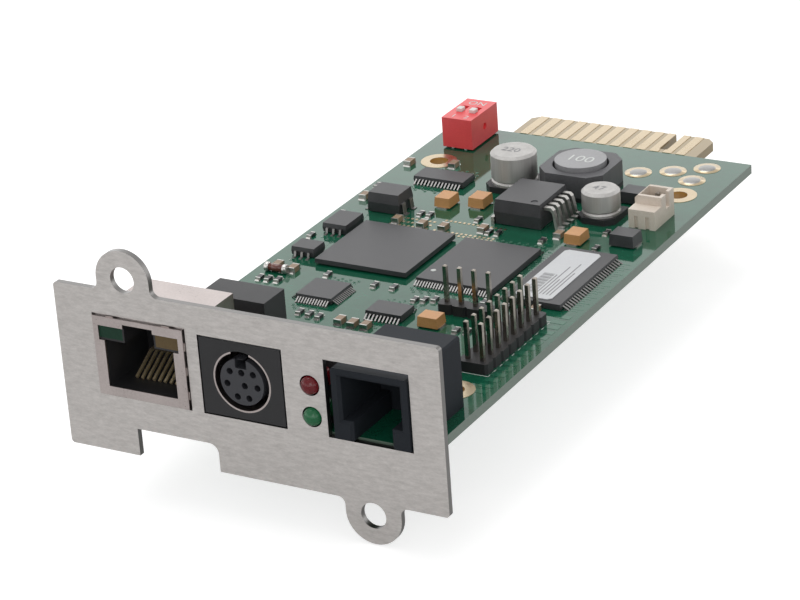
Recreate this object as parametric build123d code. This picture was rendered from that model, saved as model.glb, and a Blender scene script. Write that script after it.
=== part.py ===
import math
import os

from build123d import *

# Slot-in management card for an uninterruptible power supply, in millimetres.
# X runs across the card, Y runs from the faceplate back to the edge connector, Z is up.
# The origin lies midway between the two ear holes, on the back face of the faceplate.

# Faceplate sheet
plate_width = 66.0
plate_height = 27.0
plate_thickness = 1.0
corner_relief = 0.6
ear_inset = 12.8
ear_rise = 2.15
ear_radius = 4.7
ear_hole_radius = 2.1
ear_root_radius = 1.2
notch_start = 12.6
notch_width = 14.4
notch_depth = 4.55
notch_radius = 1.6
cutout_gap = 0.25

# Board laminate, measured from its left edge and its front edge
board_width = 58.3
board_length = 115.5
board_thickness = 1.6
board_left = -28.5
board_front = 0.3
board_drop = 3.75
tongue_start = 12.15
tongue_width = 35.7
tongue_length = 8.6
tongue_chamfer = 1.3
key_slot_width = 1.5
key_slot_length = 7.2

# Gold contacts of the edge connector
contact_count = 13
contact_pitch = 2.54
contact_width = 1.65
contact_margin = 2.15
plating = 0.08
key_contact_count = 11

# Plated mounting holes of the board
hole_radius = 1.6
hole_land_radius = 3.2
hole_spacing_x = 46.0
hole_spacing_y = 80.0
hole_front_y = 19.0

# Angle that ties the faceplate to the board from below
angle_left = -5.0
angle_right = 22.0
angle_sheet = 0.8
angle_drop = 4.6
angle_depth = 5.0
angle_tab_width = 1.4
angle_tab_places = (7.8, 14.2)

# Network socket
lan_x = -18.2
lan_width = 16.0
lan_height = 13.0
lan_depth = 14.4
lan_proud = 0.4
lan_sheet = 0.3
plug_width = 12.3
plug_bottom = 1.5
plug_top = 9.1
latch_width = 5.3
latch_top = 12.2
plug_depth = 11.0
lamp_window_top = 11.5
lamp_window_side = 0.6
lamp_window_depth = 8.0
lan_wire = 0.4
lan_wire_pitch = 1.02
lan_wire_count = 8
lan_wire_tip = (2.2, 1.8)
lan_wire_crest = (6.6, 4.4)
lan_tail_y = 11.6
shield_post_y = 4.0
shield_post_width = 1.6

# Round serial socket
din_x = -0.6
din_z = 6.1
din_width = 14.0
din_height = 12.4
din_depth = 10.0
din_shell_radius = 4.95
din_shell_wall = 0.28
din_shell_gap = 3.1
din_core_radius = 3.75
din_recess_depth = 8.0
din_key_width = 1.9
din_key_height = 1.5
din_key_z = 2.2
din_hole_radius = 0.55
din_hole_depth = 5.0
din_hole_rows = ((1.5, (-2.0, 0.0, 2.0)), (-0.55, (-2.6, 0.4, 2.6)), (-2.5, (-1.0, 1.0)))
din_tail_rows = ((-3.4, (-3.8, -1.3, 1.3, 3.8)), (-1.2, (-2.55, 0.0, 2.55, 5.1)))

# Two status lamps, one above the other
lamp_x = 11.05
lamp_upper_z = 7.65
lamp_pitch = 5.08
lamp_radius = 1.5
lamp_flange_radius = 1.85
lamp_flange_length = 1.0
lamp_length = 4.3
lamp_proud = 1.1
lamp_dome_count = 3
lamp_gap = 0.15
lamp_holder_width = 4.8
lamp_holder_depth = 6.4
lamp_lead = 0.5
lamp_lead_pitch = 2.54

# Modular telephone-type socket
aux_x = 21.25
aux_width = 12.6
aux_height = 11.4
aux_depth = 16.1
aux_proud = 0.35
aux_plug_width = 9.8
aux_plug_bottom = 3.0
aux_plug_top = 10.0
aux_plug_depth = 11.5
aux_latch_width = 6.4
aux_mouth_bevel = 0.45
aux_edge_chamfer = 0.3
aux_cutout_left_gap = 1.3
aux_cutout_top_gap = 0.9
aux_wire_count = 6
aux_wire_pitch = 1.02
aux_wire = 0.4
aux_wire_root = (10.6, 9.6)
aux_wire_tip = (3.4, 8.5)
aux_tail_y = 12.8

# Sealed isolated supply module behind the network socket
module_width = 11.6
module_depth = 6.0
module_height = 10.0
module_at = (-13.2, 19.9)
module_foot = 1.0
module_foot_height = 0.4
module_pin_offsets = (-3.81, -1.27, 1.27, 3.81)

# Two-way selector switch
switch_width = 5.9
switch_depth = 9.8
switch_height = 5.5
switch_standoff = 0.3
switch_inset_x = 6.75
switch_inset_y = 5.9
lever_pitch = 2.54
lever_width = 1.1
lever_length = 1.3
lever_travel = 1.6
lever_rise = 0.55
lever_gap = 0.06
slot_depth = 1.2
end_recess_radius = 0.65
end_recess_depth = 0.5

# Leaded packages: fine leads slope straight down, coarse ones have a shoulder and a foot
lead_thickness = 0.15
lead_shoulder = 0.3
lead_foot = 0.5
fine_lead_width = 0.24
coarse_pitch = 1.0

# Processor on a ball grid
processor_side = 17.0
processor_at = (-11.5, 60.6)
processor_standoff = 0.3
processor_height = 0.8

# Wide flat memory with leads at its front and back
flash_width = 13.9
flash_length = 17.3
flash_height = 1.0
flash_at = (6.3, 59.85)
flash_lead_count = 28
flash_lead_pitch = 0.5

# Second memory with leads along its long sides, under a paper label
memory_width = 10.16
memory_length = 20.95
memory_height = 1.0
memory_at = (20.95, 60.2)
memory_lead_count = 25
memory_lead_pitch = 0.8
memory_lead_width = 0.35
label_width = 6.5
label_length = 18.7
label_thickness = 0.1
label_corner = 0.6
label_shift = -0.45

# Network controller with leads on four sides
controller_side = 6.6
controller_height = 1.0
controller_at = (-12.5, 42.2)
controller_lead_count = 12
controller_lead_pitch = 0.5

# Smaller packages: name, centre, size, then turn, count on a side, pitch and width of the leads
small_packages = (
    ("line_driver", (-23.5, 55.9), (4.4, 3.6, 1.5), (90, 3, 1.27, 0.42)),
    ("level_shifter", (-23.4, 67.3), (4.6, 6.0, 1.6), (90, 3, 1.27, 0.42)),
    ("optocoupler", (-19.8, 77.2), (6.1, 5.0, 3.5), (0, 2, 2.54, 1.1)),
    ("bus_driver", (-17.0, 91.1), (9.7, 4.4, 1.1), (90, 14, 0.65, 0.25)),
    ("reset_chip", (1.35, 39.2), (6.5, 4.4, 1.1), (90, 10, 0.65, 0.25)),
)
package_standoff = 0.12
package_draft = 7
small_lead_reach = 1.0

# Supply regulator with a tab and five bent leads
regulator_width = 8.8
regulator_length = 10.2
regulator_height = 4.4
regulator_at = (4.4, 82.3)
regulator_tab_reach = 0.6
regulator_tab_thickness = 1.3
regulator_lead_count = 5
regulator_lead_pitch = 1.7
regulator_lead_width = 0.85
regulator_lead_thickness = 0.5
regulator_lead_drop = 0.7
regulator_lead_shoulder = 1.3
regulator_lead_bend = 0.45
regulator_lead_reach = 3.4
regulator_lead_foot = 1.0
regulator_dimple_radius = 0.6
regulator_dimple_depth = 0.12
regulator_dimple_x = 2.6
regulator_dimple_y = -3.6

# Shielded power inductor
inductor_side = 12.0
inductor_height = 4.7
inductor_corner = 2.2
inductor_at = (6.9, 96.3)
inductor_base = 0.8
inductor_ring_bore = 4.85
inductor_drum_radius = 4.45
inductor_drum_hub = 2.6
inductor_drum_flange = 1.1
inductor_drum_rise = 0.8
inductor_terminal_width = 2.4
inductor_terminal_reach = 0.8

# Aluminium capacitor cans: centre, radius, height
can_sizes = (
    ("large_capacitor_can", (-4.4, 93.4), 4.0, 6.7),
    ("small_capacitor_can", (15.7, 85.9), 3.25, 5.4),
)
can_base_height = 1.1
can_base_margin = 0.15
can_base_cut = 1.4
can_neck_depth = 0.22
can_neck_z = 1.8
can_neck_width = 0.6
can_rim_chamfer = 0.45

# Moulded tantalum capacitors, rectifiers and their end terminals
tantalum_size = (3.6, 3.0, 1.9)
tantalum_places = ((-11.5, 81.9, 90), (-6.0, 83.7, 90), (16.2, 75.4, 90), (9.45, 38.0, 0))
moulding_taper = 0.25
rectifier_size = (4.4, 3.6, 2.2)
rectifier_places = ((24.2, 77.3, 0), (18.0, 94.2, 0))
terminal_thickness = 0.25
terminal_reach = 0.9
terminal_width = 1.9

# Nylon connector for two wires
connector_width = 4.8
connector_length = 7.6
connector_height = 4.8
connector_wall = 0.65
connector_floor = 1.4
connector_at = (24.05, 87.6)
connector_step_length = 2.7
connector_step_height = 3.3
connector_slot_width = 1.3
connector_slot_bottom = 2.2
connector_groove_width = 0.7
connector_groove_depth = 0.4
connector_groove_height = 2.2
connector_groove_pitch = 2.0
connector_chamfer = 0.5
connector_pin_height = 4.0

# Square-pin headers
pin_side = 0.64
fine_pin = 0.5
pin_pitch = 2.54
pin_top = 8.0
pin_tail = 1.4
pin_tip_chamfer = 0.17
header_block_height = 1.7
header_groove = 0.4
header_at = (22.13, 26.46)
header_columns = 2
header_rows = 8
short_header_at = (9.3, 43.6)
short_header_count = 4

# Flat sides of a small round hole or recess, and turns in degrees
small_round_count = 10
half_turn = 180

# Small chip parts: width, depth, height
chip_size = (0.8, 1.6, 0.5)
chip_cap_size = (1.25, 2.0, 0.9)
chip_resistor_places = (
    (2.5, 45.2), (4.0, 45.7), (5.5, 46.4), (14.2, 37.3), (16.0, 37.6), (-12.5, 34.7), (-10.6, 34.5),
    (-8.7, 34.2),
    (-25.6, 44.0), (-24.0, 44.0), (-22.3, 44.2), (-26.6, 62.0), (-26.6, 72.0), (-13.6, 76.5), (-11.9, 76.6),
    (-3.2, 77.6), (0.9, 73.6), (2.6, 73.7), (19.5, 80.0), (13.4, 48.2), (-15.7, 48.9), (-6.4, 48.0), (-3.0, 48.2),
    (-18.9, 34.0), (-20.7, 34.0), (-26.8, 85.0), (10.9, 73.4), (20.6, 73.6), (17.6, 48.0),
)
chip_capacitor_places = (
    (-4.6, 33.8), (-2.1, 33.5), (0.2, 33.6), (-22.0, 48.6), (-25.2, 49.0), (-0.4, 74.0), (-16.0, 72.6),
    (-11.0, 72.3), (-7.0, 72.4), (22.3, 48.3), (-26.4, 79.8), (-26.6, 96.0), (12.6, 76.2), (-18.6, 97.6),
)


def block(x_span, y_span, z_span):
    """Box between two limits along each axis."""
    spans = (x_span, y_span, z_span)
    size = [high - low for low, high in spans]
    centre = [(high + low) / 2 for low, high in spans]
    return Pos(*centre) * Box(*size)


def around(centre, width):
    """Limits of a width centred on a value."""
    return (centre - width / 2, centre + width / 2)


def rod(x, z, radius, y_span):
    """Round bar along Y."""
    low, high = y_span
    return Pos(x, (low + high) / 2, z) * Rot(90, 0, 0) * Cylinder(radius, high - low)


def post(x, y, radius, z_span):
    """Round bar along Z."""
    low, high = z_span
    return Pos(x, y, (low + high) / 2) * Cylinder(radius, high - low)


def small_round(radius, depth):
    """Short round bar along Z, drawn with flat sides."""
    return extrude(RegularPolygon(radius, small_round_count), depth)


def row(count, pitch):
    """Offsets of evenly spaced copies about zero."""
    return [(index - (count - 1) / 2) * pitch for index in range(count)]


def bent_wire(points, thickness, width):
    """Flat wire that follows points of (y, z) and is swept square to X."""
    path = Polyline(*[(0, y, z) for y, z in points])
    start = Plane(origin=path @ 0, x_dir=(1, 0, 0), z_dir=path % 0)
    return sweep(start * Rectangle(width, thickness), path=path, transition=Transition.RIGHT)


def save(node, *shapes):
    """Move pieces from the board's top face to the common origin and write them as one node."""
    solids = [solid for shape in shapes for solid in shape.solids()]
    export_step(Pos(0, 0, -board_drop) * Compound(solids), f"parts/{node}.step")


# Heights below count from the board's top face
plate_centre_z = board_drop
plate_left = -plate_width / 2
plate_bottom = plate_centre_z - plate_height / 2
plate_top = plate_centre_z + plate_height / 2
plate_front = -plate_thickness
board_right = board_left + board_width
board_rear = board_front + board_length
switch_at = (board_left + switch_inset_x, board_rear - switch_inset_y)
tail_end = -board_thickness - pin_tail
hole_centre_x = board_left + board_width / 2
hole_places = [
    (hole_centre_x + side * hole_spacing_x / 2, hole_front_y + index * hole_spacing_y)
    for side in (-1, 1)
    for index in (0, 1)
]


def through_pin(x, y, top, side=pin_side):
    """Square pin from a height above the board to its solder tail below."""
    return block(around(x, side), around(y, side), (tail_end, top))


def header_pin(x, y):
    """Through pin with a bevelled tip."""
    pin = through_pin(x, y, pin_top)
    return chamfer(pin.edges().group_by(Axis.Z)[-1], pin_tip_chamfer)


# Network socket pieces

lan_front = plate_front - lan_proud
lan_back = lan_front + lan_depth
lan_plug_span = (lan_front, lan_front + plug_depth)
lan_mouth = block(around(lan_x, plug_width), lan_plug_span, (plug_bottom, plug_top))
lan_latch_slot = block(around(lan_x, latch_width), lan_plug_span, (plug_top, latch_top))
lan_inside = block(
    around(lan_x, lan_width - 2 * lan_sheet),
    (lan_front + lan_sheet, lan_back - lan_sheet),
    (0, lan_height - lan_sheet),
)


def lan_lamp(side):
    """Lamp block that fills the window in an upper corner of the socket."""
    inner = lan_x + side * latch_width / 2 + side * lan_sheet
    outer = lan_x + side * (lan_width / 2 - lan_sheet - lamp_window_side)
    x_span = (min(inner, outer), max(inner, outer))
    y_span = (lan_front + lan_sheet, lan_front + lamp_window_depth)
    return block(x_span, y_span, (plug_top + lan_sheet, lamp_window_top))


def lan_shield():
    """Folded sheet can, open below, with the mouth and both lamp windows cut in its front."""
    outer = block(around(lan_x, lan_width), (lan_front, lan_back), (0, lan_height))
    windows = block(
        around(lan_x, lan_width - 2 * (lan_sheet + lamp_window_side)),
        (lan_front, lan_front + lan_sheet),
        (plug_top, lamp_window_top),
    )
    posts = [
        block(
            around(lan_x + side * (lan_width - lan_sheet) / 2, lan_sheet),
            around(shield_post_y, shield_post_width),
            (tail_end, 0),
        )
        for side in (-1, 1)
    ]
    return outer - lan_inside - lan_mouth - lan_latch_slot - windows + posts


def lan_wires():
    """Eight sprung wires that rise from the front of the mouth to its back wall."""
    route = (lan_wire_tip, lan_wire_crest, (lan_tail_y + lan_wire / 2, lan_wire_crest[1]))
    spring = bent_wire(route, lan_wire, lan_wire)
    tail_top = lan_wire_crest[1] - lan_wire / 2
    wire = spring + block(around(0, lan_wire), around(lan_tail_y, lan_wire), (tail_end, tail_top))
    return [Pos(lan_x + offset, 0, 0) * wire for offset in row(lan_wire_count, lan_wire_pitch)]


def lan_housing(wires, lamps):
    """Moulded insert with the plug cavity, the latch slot, the lamp pockets and the wire slots."""
    return lan_inside - lan_mouth - lan_latch_slot - lamps - wires


# Round serial socket pieces

din_front = plate_front
din_back = din_front + din_depth
din_recess_span = (din_front, din_front + din_recess_depth)


def din_shell():
    """Metal tube that the plug's shell slides into, with a gap at its top for the key."""
    tube = rod(din_x, din_z, din_shell_radius, din_recess_span)
    bore = rod(din_x, din_z, din_shell_radius - din_shell_wall, din_recess_span)
    gap = block(around(din_x, din_shell_gap), din_recess_span, (din_z, din_z + din_shell_radius))
    return tube - bore - gap


def din_housing():
    """Moulded block with a round recess for the tube."""
    body = block(around(din_x, din_width), (din_front, din_back), (0, din_height))
    return body - rod(din_x, din_z, din_shell_radius, din_recess_span)


def din_contacts():
    """Eight tails of the socket contacts below the moulded block."""
    return [through_pin(din_x + x, din_back + y, 0, fine_pin) for y, places in din_tail_rows for x in places]


def din_core():
    """Round insulator with eight contact holes and a key slot at its top."""
    core = rod(din_x, din_z, din_core_radius, din_recess_span)
    key_bottom = din_z + din_key_z
    key_top = key_bottom + din_key_height
    hole_span = (din_front, din_front + din_hole_depth)
    key = block(around(din_x, din_key_width), hole_span, (key_bottom, key_top))
    hole = Rot(-90, 0, 0) * small_round(din_hole_radius, din_hole_depth)
    holes = [
        Pos(din_x + x, din_front, din_z + z) * hole
        for z, places in din_hole_rows
        for x in places
    ]
    return core - key - holes


# Status lamp pieces

lamp_heights = (lamp_upper_z, lamp_upper_z - lamp_pitch)
lamp_tip = plate_front - lamp_proud
lamp_back = lamp_tip + lamp_length + lamp_radius
holder_front = lamp_back - lamp_flange_length


def status_lamp(z):
    """Domed lamp body with a flange at its back, turned about its own axis."""
    angles = [math.pi / 2 * step / lamp_dome_count for step in range(lamp_dome_count + 1)]
    profile = Polyline(
        *[(lamp_radius * math.sin(angle), lamp_tip + lamp_radius * (1 - math.cos(angle))) for angle in angles],
        (lamp_radius, holder_front),
        (lamp_flange_radius, holder_front),
        (lamp_flange_radius, lamp_back),
        (0, lamp_back),
        close=True,
    )
    return Pos(lamp_x, 0, z) * revolve(make_face(profile), Axis.Y)


def lamp_leads():
    """Two leads of each lamp, bent down through the board."""
    leads = []
    for index, z in enumerate(lamp_heights):
        back = holder_front + lamp_holder_depth - 2 * lamp_lead - index * lamp_lead_pitch
        for side in (-1, 1):
            x = lamp_x + side * lamp_lead_pitch / 2
            run = block(around(x, lamp_lead), (lamp_back, back), around(z, lamp_lead))
            drop = block(around(x, lamp_lead), (back - lamp_lead, back), (tail_end, z + lamp_lead / 2))
            leads.append(run + drop)
    return leads


def lamp_holder(lamps, leads):
    """Moulded block that carries both lamps at right angles to the board."""
    top = lamp_upper_z + lamp_pitch / 2
    y_span = (holder_front, holder_front + lamp_holder_depth)
    body = block(around(lamp_x, lamp_holder_width), y_span, (0, top))
    return body - lamps - leads


# Modular socket pieces

aux_front = plate_front - aux_proud
aux_back = aux_front + aux_depth


def aux_wires():
    """Six sprung wires that hang from the roof of the mouth."""
    route = (aux_wire_tip, aux_wire_root, (aux_tail_y + aux_wire / 2, aux_wire_root[1]))
    spring = bent_wire(route, aux_wire, aux_wire)
    tail_top = aux_wire_root[1] - aux_wire / 2
    wire = spring + block(around(0, aux_wire), around(aux_tail_y, aux_wire), (tail_end, tail_top))
    return [Pos(aux_x + offset, 0, 0) * wire for offset in row(aux_wire_count, aux_wire_pitch)]


def aux_housing(wires):
    """Moulded body with the plug cavity and a latch channel that is open down to the board."""
    body = block(around(aux_x, aux_width), (aux_front, aux_back), (0, aux_height))
    cavity_end = aux_front + aux_plug_depth
    cavity = block(around(aux_x, aux_plug_width), (aux_front, cavity_end), (aux_plug_bottom, aux_plug_top))
    channel = block(around(aux_x, aux_latch_width), (aux_front, cavity_end), (0, aux_plug_bottom))
    body = chamfer(body.edges().filter_by(Axis.Y).group_by(Axis.Z)[-1], aux_edge_chamfer)
    body = body - cavity - channel
    front = body.faces().sort_by(Axis.Y)[0].edges()
    mouth = [
        edge
        for edge in front
        if abs(edge.center().X - aux_x) < aux_plug_width / 2 + aux_edge_chamfer
        and 0 < edge.center().Z < aux_plug_top + aux_edge_chamfer
    ]
    return chamfer(mouth, aux_mouth_bevel) - wires


# Faceplate pieces

ear_places = [
    (plate_left + ear_inset, plate_top + ear_rise, 1),
    (-plate_left - ear_inset, plate_bottom - ear_rise, -1),
]


def plate_cutouts():
    """Openings in the faceplate, each a clearance around the connector that fills it."""
    lan = around(lan_x, lan_width + 2 * cutout_gap)
    din = around(din_x, din_width + 2 * cutout_gap)
    aux = (aux_x - aux_width / 2 - aux_cutout_left_gap, aux_x + aux_width / 2 + cutout_gap)
    heights = (
        (lan, lan_height + cutout_gap),
        (din, din_height + cutout_gap),
        (aux, aux_height + aux_cutout_top_gap),
    )
    openings = []
    for (left, right), top in heights:
        openings.append(Pos((left + right) / 2, (top - cutout_gap) / 2) * Rectangle(right - left, top + cutout_gap))
    openings += [Pos(lamp_x, z) * Circle(lamp_radius + lamp_gap) for z in lamp_heights]
    return openings


def faceplate():
    """Flat sheet with two ears, a notch in its lower edge and the connector openings."""
    sheet = Pos(0, plate_centre_z) * Rectangle(plate_width, plate_height)
    sheet = fillet(sheet.vertices(), corner_relief)
    for x, z, side in ear_places:
        edge = z - side * ear_rise
        neck = Pos(x, (z + edge) / 2) * Rectangle(2 * ear_radius, ear_rise)
        sheet += [Pos(x, z) * Circle(ear_radius), neck]
        roots = [corner for corner in sheet.vertices() if abs(corner.Y - edge) < corner_relief / 2]
        near = [corner for corner in roots if abs(abs(corner.X - x) - ear_radius) < corner_relief / 2]
        sheet = fillet(near, ear_root_radius)
    notch_left = plate_left + notch_start
    notch = Pos(notch_left + notch_width / 2, plate_bottom) * Rectangle(notch_width, 2 * notch_depth)
    upper = notch.vertices().group_by(Axis.Y)[-1]
    sheet -= fillet(upper.sort_by(Axis.X)[-1], notch_radius)
    sheet -= plate_cutouts()
    sheet -= [Pos(x, z) * Circle(ear_hole_radius) for x, z, side in ear_places]
    return extrude(Plane.XZ * sheet, plate_thickness)


def support_angle():
    """Angle welded to the back of the faceplate, with solder tabs that pass through the board."""
    under = -board_thickness
    upright = block((angle_left, angle_right), (0, angle_sheet), (under - angle_drop, under))
    shelf = block((angle_left, angle_right), (0, angle_depth), (under - angle_sheet, under))
    tab_y = around(angle_depth - angle_tab_width, angle_sheet)
    tabs = [block(around(x, angle_tab_width), tab_y, (under, plating)) for x in angle_tab_places]
    return upright + shelf + tabs


# Board pieces

tongue_left = board_left + tongue_start
tongue_right = tongue_left + tongue_width
tongue_end = board_rear + tongue_length
contact_xs = [tongue_left + contact_margin + index * contact_pitch for index in range(contact_count)]
key_x = contact_xs[key_contact_count - 1] + contact_pitch / 2
key_slot = block(
    around(key_x, key_slot_width),
    (tongue_end - key_slot_length, tongue_end),
    (-board_thickness - plating, plating),
)


def circuit_board(through_parts):
    """Laminate with the keyed edge tongue, its plated holes and a hole for every soldered tail."""
    z_span = (-board_thickness, 0)
    panel = block((board_left, board_right), (board_front, board_rear), z_span)
    tongue = block((tongue_left, tongue_right), (board_rear, tongue_end), z_span)
    corners = tongue.edges().filter_by(Axis.Z).group_by(Axis.Y)[-1]
    tongue = chamfer(corners, tongue_chamfer)
    holes = [post(x, y, hole_radius, z_span) for x, y in hole_places]
    return panel + tongue - key_slot - holes - through_parts


def edge_contacts():
    """Gold strips on both faces of the tongue, cut away where the key slot runs between two of them."""
    y_span = (board_rear, tongue_end)
    faces = ((0, plating), (-board_thickness - plating, -board_thickness))
    strips = [block(around(x, contact_width), y_span, z_span) for x in contact_xs for z_span in faces]
    return [strip - key_slot for strip in strips]


def copper_lands():
    """Rings of bare copper around the plated holes."""
    z_span = (0, plating)
    return [post(x, y, hole_land_radius, z_span) - post(x, y, hole_radius, z_span) for x, y in hole_places]


# Sealed supply module


def supply_module():
    """Potted box with short feet under its long sides."""
    x_span = around(module_at[0], module_width)
    y_span = around(module_at[1], module_depth)
    body = block(x_span, y_span, (0, module_height))
    relief = block(around(module_at[0], module_width - 2 * module_foot), y_span, (0, module_foot_height))
    return body - relief


# Selector switch pieces

switch_top = switch_standoff + switch_height
lever_xs = [switch_at[0] + offset for offset in row(2, lever_pitch)]
slot_length = lever_length + lever_travel + 2 * lever_gap
lever_rest_y = switch_at[1] - lever_travel / 2


def switch_body():
    """Moulded body with a slot for each lever, a shallow print field and a recess in each end."""
    y_span = around(switch_at[1], switch_depth)
    body = block(around(switch_at[0], switch_width), y_span, (switch_standoff, switch_top))
    slot_y = around(switch_at[1], slot_length)
    slot_z = (switch_top - slot_depth, switch_top)
    slots = [block(around(x, lever_width + 2 * lever_gap), slot_y, slot_z) for x in lever_xs]
    middle = switch_standoff + switch_height / 2
    recess = Rot(0, 90, 0) * Pos(0, 0, -end_recess_depth) * small_round(end_recess_radius, 2 * end_recess_depth)
    ends = [Pos(switch_at[0] + side * switch_width / 2, switch_at[1], middle) * recess for side in (-1, 1)]
    return body - slots - ends


def switch_lever(x):
    """Small slider that stands in its slot and travels along it."""
    z_span = (switch_top - slot_depth + lever_gap, switch_top + lever_rise)
    return block(around(x, lever_width), around(lever_rest_y, lever_length), z_span)


def switch_pins():
    """Two soldered pins for each lever."""
    ys = [switch_at[1] + side * (switch_depth / 2 - pin_side) for side in (-1, 1)]
    return [through_pin(x, y, switch_standoff, fine_pin) for x in lever_xs for y in ys]


# Packages with gull leads


def package(at, width, depth, height):
    """Moulded package whose sides lean in above and below the line where the mould parts."""
    middle = Pos(*at, package_standoff + height / 2) * Rectangle(width, depth)
    return extrude(middle, height / 2, both=True, taper=package_draft)


def fine_lead(height, width):
    """Lead of a fine-pitch package that slopes from the parting line to the board."""
    outline = Polyline(
        (0, height + lead_thickness / 2),
        (small_lead_reach, lead_thickness),
        (small_lead_reach, 0),
        (0, height - lead_thickness / 2),
        close=True,
    )
    return extrude(Plane.XZ * make_face(outline), width / 2, both=True)


def gull_lead(height, width):
    """One lead that leaves the package at a height, steps down and rests its foot on the board."""
    top = height + lead_thickness / 2
    low = height - lead_thickness / 2
    knee = small_lead_reach - lead_foot
    outline = Polyline(
        (0, top),
        (lead_shoulder, top),
        (knee, lead_thickness),
        (small_lead_reach, lead_thickness),
        (small_lead_reach, 0),
        (knee - lead_thickness, 0),
        (lead_shoulder - lead_thickness / 2, low),
        (0, low),
        close=True,
    )
    return extrude(Plane.XZ * make_face(outline), width / 2, both=True)


def lead_row(at, turn, edge, offsets, lead):
    """Copies of a lead along one side of a package, turned about the package centre."""
    base = Pos(at[0], at[1], 0) * Rot(0, 0, turn)
    return [base * Pos(edge, offset, 0) * lead for offset in offsets]


def two_rows(at, turn, edge, count, pitch, lead):
    """Leads on two opposite sides."""
    offsets = row(count, pitch)
    return lead_row(at, turn, edge, offsets, lead) + lead_row(at, turn + half_turn, edge, offsets, lead)


def processor():
    """Flat ball-grid package that stands clear of the board."""
    x_span = around(processor_at[0], processor_side)
    y_span = around(processor_at[1], processor_side)
    return block(x_span, y_span, (processor_standoff, processor_standoff + processor_height))


def memory_label():
    """Paper label with cut corners on the second memory."""
    height = package_standoff + memory_height
    outline = Rectangle(label_width, label_length)
    outline = chamfer(outline.vertices(), label_corner)
    return Pos(memory_at[0] + label_shift, memory_at[1], height) * extrude(outline, label_thickness)


# Power parts


def regulator():
    """Moulded package with a round dimple in its top."""
    body = package(regulator_at, regulator_width, regulator_length, regulator_height)
    floor = package_standoff + regulator_height - regulator_dimple_depth
    dimple = small_round(regulator_dimple_radius, regulator_height)
    return body - Pos(regulator_at[0] + regulator_dimple_x, regulator_at[1] + regulator_dimple_y, floor) * dimple


def regulator_lead():
    """Thick lead with a bevelled shoulder that falls steeply to a long foot."""
    top = package_standoff + regulator_height - regulator_lead_drop
    low = top - regulator_lead_thickness
    knee = regulator_lead_reach - regulator_lead_foot
    inner = regulator_lead_shoulder - regulator_lead_thickness / 2
    outline = Polyline(
        (0, top),
        (regulator_lead_shoulder, top),
        (regulator_lead_shoulder + regulator_lead_bend, top - regulator_lead_bend),
        (knee, regulator_lead_thickness),
        (regulator_lead_reach, regulator_lead_thickness),
        (regulator_lead_reach, 0),
        (knee - regulator_lead_thickness, 0),
        (inner + regulator_lead_bend, low - regulator_lead_bend),
        (inner, low),
        (0, low),
        close=True,
    )
    return extrude(Plane.XZ * make_face(outline), regulator_lead_width / 2, both=True)


def regulator_metal():
    """Soldered tab on one side and five bent leads on the other."""
    left = regulator_at[0] - regulator_width / 2
    tab_y = around(regulator_at[1], regulator_length)
    tab = block((left - regulator_tab_reach, left), tab_y, (0, regulator_tab_thickness))
    offsets = row(regulator_lead_count, regulator_lead_pitch)
    return [tab] + lead_row(regulator_at, 0, regulator_width / 2, offsets, regulator_lead())


def inductor_outline():
    """Square with cut corners that the ferrite ring and its base share."""
    outline = Rectangle(inductor_side, inductor_side)
    return chamfer(outline.vertices(), inductor_corner)


def inductor_core():
    """Square ferrite ring with cut corners on a thin base."""
    ring = extrude(inductor_outline() - Circle(inductor_ring_bore), inductor_height - inductor_base)
    return Pos(*inductor_at, inductor_base) * ring


def inductor_drum():
    """Drum core: two flanges on a hub, turned as one piece."""
    top = inductor_height + inductor_drum_rise
    profile = Polyline(
        (0, inductor_base),
        (inductor_drum_radius, inductor_base),
        (inductor_drum_radius, inductor_base + inductor_drum_flange),
        (inductor_drum_hub, inductor_base + inductor_drum_flange),
        (inductor_drum_hub, top - inductor_drum_flange),
        (inductor_drum_radius, top - inductor_drum_flange),
        (inductor_drum_radius, top),
        (0, top),
        close=True,
    )
    return Pos(*inductor_at, 0) * revolve(Plane.XZ * make_face(profile), Axis.Z)


def inductor_base_plate():
    """Moulded base under the ferrite, with a soldered terminal at two sides."""
    return Pos(*inductor_at, 0) * extrude(inductor_outline(), inductor_base)


def inductor_terminals():
    """Flat terminals that reach out from under two sides."""
    reach = inductor_side / 2 + inductor_terminal_reach
    return [
        block(
            around(inductor_at[0], inductor_terminal_width),
            around(inductor_at[1] + side * (inductor_side / 2 + reach) / 2, reach - inductor_side / 2),
            (0, terminal_thickness),
        )
        for side in (-1, 1)
    ]


def capacitor_can(at, radius, height):
    """Drawn aluminium can with a bevelled rim and a crimped neck, turned as one piece."""
    profile = Polyline(
        (0, can_base_height),
        (radius, can_base_height),
        (radius, can_neck_z - can_neck_width / 2),
        (radius - can_neck_depth, can_neck_z),
        (radius, can_neck_z + can_neck_width / 2),
        (radius, height - can_rim_chamfer),
        (radius - can_rim_chamfer, height),
        (0, height),
        close=True,
    )
    return Pos(*at, 0) * revolve(Plane.XZ * make_face(profile), Axis.Z)


def capacitor_base(at, radius):
    """Square moulded base with two cut corners."""
    side = 2 * (radius + can_base_margin)
    base = block(around(at[0], side), around(at[1], side), (0, can_base_height))
    cut = [edge for edge in base.edges().filter_by(Axis.Z) if edge.center().Y < at[1]]
    return chamfer(cut, can_base_cut)


def moulded_chip(place, size):
    """Moulded part whose sides lean in towards the top."""
    x, y, turn = place
    width, depth, height = size
    foot = Pos(0, 0, terminal_thickness) * Rectangle(width, depth)
    head = Pos(0, 0, height) * Rectangle(width - moulding_taper, depth - moulding_taper)
    return Pos(x, y, 0) * Rot(0, 0, turn) * loft([foot, head])


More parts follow.
